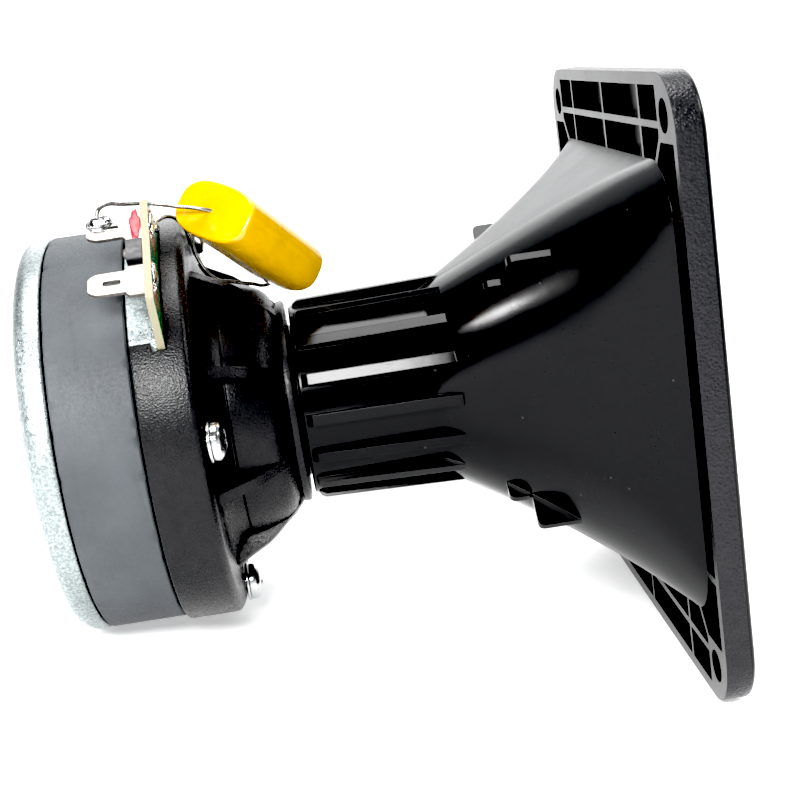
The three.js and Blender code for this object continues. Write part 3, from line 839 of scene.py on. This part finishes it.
def screw_head():
    """A pan head with a cross recess, and its shank."""
    tip, seat, side, crown = -109.5, -95.8, -95, -93
    shank_radius, head_radius, flat_radius = 1.7, 4.2, 0.4
    profile = [(tip, 0), (tip, shank_radius), (seat, shank_radius), (seat, head_radius)]
    for turn in spaced(0, math.pi / 2, 8)[:-1]:
        radius = flat_radius + (head_radius - flat_radius) * math.cos(turn)
        profile.append((side + (crown - side) * math.sin(turn), radius))
    profile.append((crown, 0))
    long, thin, depth = (-2.2, 2.2), (-0.5, 0.5), (-94.8, -92)
    recess = [box("cross", depth, long, thin), box("cross", depth, thin, long)]
    return combine(turned("head", profile, 48), recess, "DIFFERENCE")


def washer_ring():
    """A plain washer with softened edges."""
    rear, front, inner, outer = SHOULDER + GAP, -96, 2.1, 4.5
    outline = [(rear, inner), (rear, outer), (front, outer), (front, inner)]
    return turned("washer", fillet(outline, 0.2, 3), 48)


def make_screws():
    """Four screws, each on a plain washer."""
    for i, (y, z) in enumerate(screw_places(), 1):
        for piece, node in ((screw_head(), "cover_screw"), (washer_ring(), "screw_washer")):
            shift(piece, y, z)
            piece.name = f"{node}_bright_{i}"
            finish_piece(piece, "driver", [screw_zinc], [f"{node}_{i}"], 35)


# ---- terminals ----

def make_board():
    """The laminate with a slot for each tab, and a copper pad round each slot."""
    outline = fillet(board_outline(), 0.8, 3)
    board = prism("board_laminate", outline, BOARD_REAR, BOARD_FRONT, on_board)
    slots = []
    for side in TAB_SIDES:
        slot = [
            (side - 4.2, TAB_OUT - 0.6), (side + 4.2, TAB_OUT - 0.6),
            (side + 4.2, TAB_OUT + 0.6), (side - 4.2, TAB_OUT + 0.6),
        ]
        slots.append(prism("slot", slot, -105, -101, on_board))
    combine(board, slots, "DIFFERENCE")

    def choose(face):
        return 1 if face.normal[0] > 0.9 else 0

    finish_piece(board, "driver", [cream, green], ["terminal_board"], 30, choose)
    pad_front = BOARD_FRONT + 0.06
    for i, side in enumerate(TAB_SIDES, 1):
        corners = [(side - 4.6, 48.6), (side + 4.6, 48.6), (side + 4.6, 55.4), (side - 4.6, 55.4)]
        pad = prism(f"copper_pad_{i}", fillet(corners, 1.2, 4), BOARD_FRONT, pad_front, on_board)
        finish_piece(pad, "driver", [copper])


def make_tabs():
    """Slotted blade tabs with rounded tips."""
    low, high = TAB_OUT - TAB_HALF_THICKNESS, TAB_OUT + TAB_HALF_THICKNESS
    slot = fillet([(-112.3, -0.6), (-108.7, -0.6), (-108.7, 0.6), (-112.3, 0.6)], 0.55, 5)
    for i, side in enumerate(TAB_SIDES, 1):
        outline = fillet([
            (BOARD_FRONT + 0.6, side - 4), (BOARD_FRONT + 0.6, side + 4), (-107.2, side + 4),
            (-107.7, side + 2.9), (-113.6, side + 2.9), (-115.4, side + 1.9), (-115.4, side - 1.9),
            (-113.6, side - 2.9), (-107.7, side - 2.9), (-107.2, side - 4),
        ], 0.7, 4)
        tab = prism(f"blade_{i}", outline, low, high, flat_on_board)
        hole = prism("slot", [(x, side + y) for x, y in slot], low - 0.6, high + 0.6, flat_on_board)
        combine(tab, [hole], "DIFFERENCE")
        finish_piece(tab, "driver", [tin], [f"terminal_tab_{i}"], 30)


def make_block():
    """The insulating block between the tabs' feet, with a rivet in its rear face."""
    m = BOARD_MIDDLE
    outline = [(m - 2.85, 52.6), (m + 2.85, 52.6), (m + 2.85, 56), (m - 2.85, 56)]
    block = prism("insulating_block", fillet(outline, 0.5, 3), BLOCK_REAR, BOARD_REAR - 0.1, on_board)
    finish_piece(block, "driver", [black_part], ["terminal_block"], 30)
    front = BLOCK_REAR + 0.1
    profile = [(-107.9, 0), (-107.9, 0.7), (-107.6, 1.1), (front, 1.2), (front, 0)]
    rivet = turned("block_rivet", profile, 24)
    centre = on_board(m, TAB_OUT + 0.1, 0)
    shift(rivet, centre[1], centre[2])
    finish_piece(rivet, "driver", [tin])


def blob(name, centre, size, lumpiness, material):
    """A lumpy bead, for solder and paint; size is its half sizes."""
    mesh = bpy.data.meshes.new(name)
    ball = bmesh.new()
    bmesh.ops.create_icosphere(ball, subdivisions=4, radius=1)
    for vertex in ball.verts:
        swell = 1 + lumpiness * noise.noise(vertex.co * 1.7 + Vector(centre))
        along, sideways, outward = (part * half for part, half in zip(vertex.co, size))
        offset = Vector(flat_on_board(along, sideways, outward))
        vertex.co = place(Vector(centre) + offset * swell)
    ball.to_mesh(mesh)
    ball.free()
    piece = bpy.data.objects.new(name, mesh)
    bpy.context.scene.collection.objects.link(piece)
    return finish_piece(piece, "driver", [material], angle=60)


def make_solder():
    """Solder on the far tab, the pads and the board's lead, and the red mark by the far tab."""
    far_tab = TAB_SIDES[1]
    centre = flat_on_board(-112.6, far_tab + 1.6, TAB_OUT + 0.5)
    bead = blob("solder_joint", centre, (2.5, 2, 1), 0.4, solder_metal)
    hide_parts("solder_bead")
    mark = flat_on_board(-105.2, far_tab, TAB_OUT + 0.35)
    blob("polarity_paint", mark, (1.1, 4.1, 0.3), 0.4, red_paint)
    board_face = BOARD_FRONT + 0.3
    for i, side in enumerate(TAB_SIDES, 1):
        centre = on_board(side, TAB_OUT, board_face)
        blob(f"pad_solder_{i}", centre, (0.7, 3.6, 1.5), 0.3, solder_metal)
    centre = on_board(15.6, 47.4, board_face)
    blob("board_lead_solder", centre, (0.7, 1.5, 1.5), 0.3, solder_metal)


# ---- capacitor ----

def on_capacitor(x, a, b):
    """A point in the capacitor's own frame: along its length, across its width and height."""
    across = CAPACITOR_AXIS.cross(CAPACITOR_SIDE)
    return CAPACITOR_START + CAPACITOR_AXIS * x + CAPACITOR_SIDE * a + across * b


def oval(half_width, half_height, turn):
    """A point on a flat oval."""
    power = 2.8
    c, s = math.cos(turn), math.sin(turn)
    return (
        half_width * math.copysign(abs(c) ** (2 / power), c),
        half_height * math.copysign(abs(s) ** (2 / power), s),
    )


def capacitor_skin(name, stations):
    """A closed skin through flat ovals at stations of (distance along, inset)."""
    around = 120
    rings = []
    for x, inset in stations:
        ring = []
        for i in range(around):
            turn = 2 * math.pi * i / around
            a, b = oval(CAPACITOR_HALF_WIDTH - inset, CAPACITOR_HALF_HEIGHT - inset, turn)
            ring.append(on_capacitor(x, a, b))
        rings.append(ring)
    return joined_rings(name, rings)


def make_capacitor():
    """Tape-wrapped body with cast ends: the near end crisp, the far end rounder."""
    far_round = 2.4
    round_start = CAPACITOR_LENGTH - far_round
    stations = [
        (-0.15, 4.5), (-0.1, 2.4), (0.05, 1.2), (0.02, 0.75), (0, 0.5), (0.12, 0.18), (0.4, 0),
    ]
    stations += [(x, 0.0) for x in spaced(1.5, round_start, 6)]
    for turn in spaced(0.2, math.pi / 2, 7):
        inset = far_round * (1 - math.cos(turn))
        stations.append((round_start + far_round * math.sin(turn), inset))
    body = capacitor_skin("capacitor_body", stations)
    replaced = ["capacitor_wrap", "capacitor_end_1", "capacitor_end_2"]
    finish_piece(body, "driver", [yellow], replaced, 50)


def make_leads():
    """One wire from the near end to the far tab, one from the far end under the body to the board."""
    to_tab = [
        on_capacitor(0.6, 0, 0), (-92, -21.8, 48.9), (-96.4, -20.8, 49.9), (-102.5, -19.7, 51.3),
        (-107.8, -22.5, 52.2), (-110.8, -24.2, 52.7), (-112.4, -25.2, 51.9), (-112.9, -25.7, 50.4),
        (-112.7, -26.3, 49),
    ]
    to_board = [
        on_capacitor(CAPACITOR_LENGTH - 0.5, 0, 0), on_capacitor(CAPACITOR_LENGTH + 1.6, 0, 0),
        (-76.6, 4.6, 29.4), (-79.5, 3.6, 27.9), (-81.6, 2.6, 27.4), (-84.5, 0, 28.5),
        (-88.5, -2.5, 29.9), (-92.3, -5, 31.6), (-95.1, -6.4, 36.5), (-95.9, -8.7, 41.5),
        (-97.4, -12.5, 46), (-99.6, -16.5, 47.8), (-101.9, -18.5, 47.2),
    ]
    for i, route in enumerate((to_tab, to_board), 1):
        lead = wire(f"tinned_lead_{i}", route, LEAD_RADIUS)
        finish_piece(lead, "driver", [wire_tin], [f"capacitor_lead_{i}"], 60)


def finish_hidden_nodes():
    """Materials for the CAD nodes that stay as they are, most of them inside."""
    kept = {
        "top_plate": zinc, "phase_plug": cover_skin, "diaphragm_ring": black_part,
        "diaphragm_dome": film, "coil_former": film, "diaphragm_surround": film,
        "coil_winding": copper, "coil_lead_1": copper, "coil_lead_2": copper,
        "capacitor_winding": foil,
    }
    for name, material in kept.items():
        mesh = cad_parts[name].data
        for i in range(len(mesh.materials)):
            mesh.materials[i] = material


# ---- stage ----

# The horn lies on its magnet's rim and the flange's lower edge, so the floor slopes in this frame.
FLOOR_TILT = math.atan2(FLANGE_HALF - MAGNET_RADIUS, -MAGNET_REAR)
FLOOR_POINT = place((0, 0, -FLANGE_HALF))


def make_floor():
    """A wide pale floor that sweeps up into a wall behind the object."""
    front, back, sweep, wall, half_width = -1.1, 1.2, 0.5, 1.3, 2.4
    profile = [(front, 0), (0, 0), (back, 0)]
    for turn in spaced(0.1, math.pi / 2, 14):
        profile.append((back + sweep * math.sin(turn), sweep * (1 - math.cos(turn))))
    profile.append((back + sweep, sweep + wall))
    tilt = Matrix.Rotation(FLOOR_TILT, 3, "Y")
    points = []
    for side in (-half_width, half_width):
        points += [FLOOR_POINT + tilt @ Vector((side, y, z)) for y, z in profile]
    count = len(profile)
    faces = [(i, i + count, i + count + 1, i + 1) for i in range(count - 1)]
    mesh = bpy.data.meshes.new("floor")
    mesh.from_pydata(points, [], faces)
    mesh.materials.append(matt_floor())
    for face in mesh.polygons:
        face.use_smooth = True
    floor = bpy.data.objects.new("floor", mesh)
    bpy.context.scene.collection.objects.link(floor)


def add_light(name, position, target, width, height, watts):
    """A rectangular softbox that faces the target."""
    lamp = bpy.data.lights.new(name, "AREA")
    lamp.shape = "RECTANGLE"
    lamp.size = width
    lamp.size_y = height
    lamp.energy = watts
    holder = bpy.data.objects.new(name, lamp)
    holder.location = position
    aim = Vector(target) - Vector(position)
    holder.rotation_euler = aim.to_track_quat("-Z", "Y").to_euler()
    bpy.context.scene.collection.objects.link(holder)


def make_sky():
    """A pale room: bright low down all round and behind the object, dim overhead."""
    world = bpy.data.worlds.new("studio")
    world.use_nodes = True
    nodes, links = world.node_tree.nodes, world.node_tree.links
    where = nodes.new("ShaderNodeTexCoord")

    def level(direction, start, end, first, last):
        """Strength that changes from first to last as the view turns towards a direction."""
        slope = nodes.new("ShaderNodeVectorMath")
        slope.operation = "DOT_PRODUCT"
        slope.inputs[1].default_value = direction
        links.new(where.outputs["Generated"], slope.inputs[0])
        ramp = nodes.new("ShaderNodeMapRange")
        limits = {"From Min": start, "From Max": end, "To Min": first, "To Max": last}
        for name, value in limits.items():
            ramp.inputs[name].default_value = value
        links.new(slope.outputs["Value"], ramp.inputs["Value"])
        return ramp.outputs["Result"]

    strongest = nodes.new("ShaderNodeMath")
    strongest.operation = "MAXIMUM"
    links.new(level((0.4, 0.9, -0.25), 0, 0.9, 0.1, 1.2), strongest.inputs[0])
    links.new(level((0, 0, 1), 0.16, 0.4, 1.1, 0), strongest.inputs[1])
    background = nodes["Background"]
    background.inputs["Color"].default_value = (0.96, 0.985, 1, 1)
    links.new(strongest.outputs[0], background.inputs["Strength"])
    bpy.context.scene.world = world


def make_lights():
    """Softboxes above, in front, at both sides and behind, placed from the object's middle."""
    middle = place((-60, 0, 0))
    add_light("top_softbox", middle + Vector((0, -0.02, 0.95)), middle, 0.7, 0.42, 14)
    add_light("front_softbox", middle + Vector((-0.2, -0.78, 0.5)), middle, 0.42, 0.2, 15)
    add_light("left_softbox", middle + Vector((-0.85, -0.12, 0.5)), middle, 0.1, 0.1, 3)
    add_light("right_softbox", middle + Vector((0.86, -0.14, 0.52)), middle, 0.24, 0.24, 4)
    behind = middle + Vector((0, 0.4, -0.1))
    add_light("back_softbox", middle + Vector((0.2, 1.15, 0.75)), behind, 1.6, 0.8, 8)


def make_camera():
    """A short telephoto look from the near side, slightly above the floor."""
    lens = bpy.data.cameras.new("camera")
    lens.sensor_width = 36
    lens.lens = 68.2
    lens.clip_start = 0.01
    holder = bpy.data.objects.new("camera", lens)
    right = Vector((0.98774, -0.07443, -0.13722)).normalized()
    ahead = Vector((0.04207, 0.97342, -0.22515)).normalized()
    up = right.cross(ahead)
    right = ahead.cross(up)
    turn = Matrix((right, up, -ahead)).transposed()
    holder.matrix_world = Matrix.Translation(place((-69.66, -344.93, 76.13))) @ turn.to_4x4()
    bpy.context.scene.collection.objects.link(holder)
    bpy.context.scene.camera = holder


def set_colours():
    """The plain view, with its curve's black level raised so that dark tones go to deep black."""
    view = bpy.context.scene.view_settings
    view.view_transform = "Standard"
    view.look = "None"
    view.use_curve_mapping = True
    view.curve_mapping.black_level = (0.043, 0.043, 0.043)
    view.curve_mapping.update()


make_camera()
make_floor()
make_sky()
make_lights()
set_colours()
make_horn()
make_back_plate()
make_magnet()
make_cover()
make_screws()
make_board()
make_tabs()
make_block()
make_solder()
make_capacitor()
make_leads()
finish_hidden_nodes()
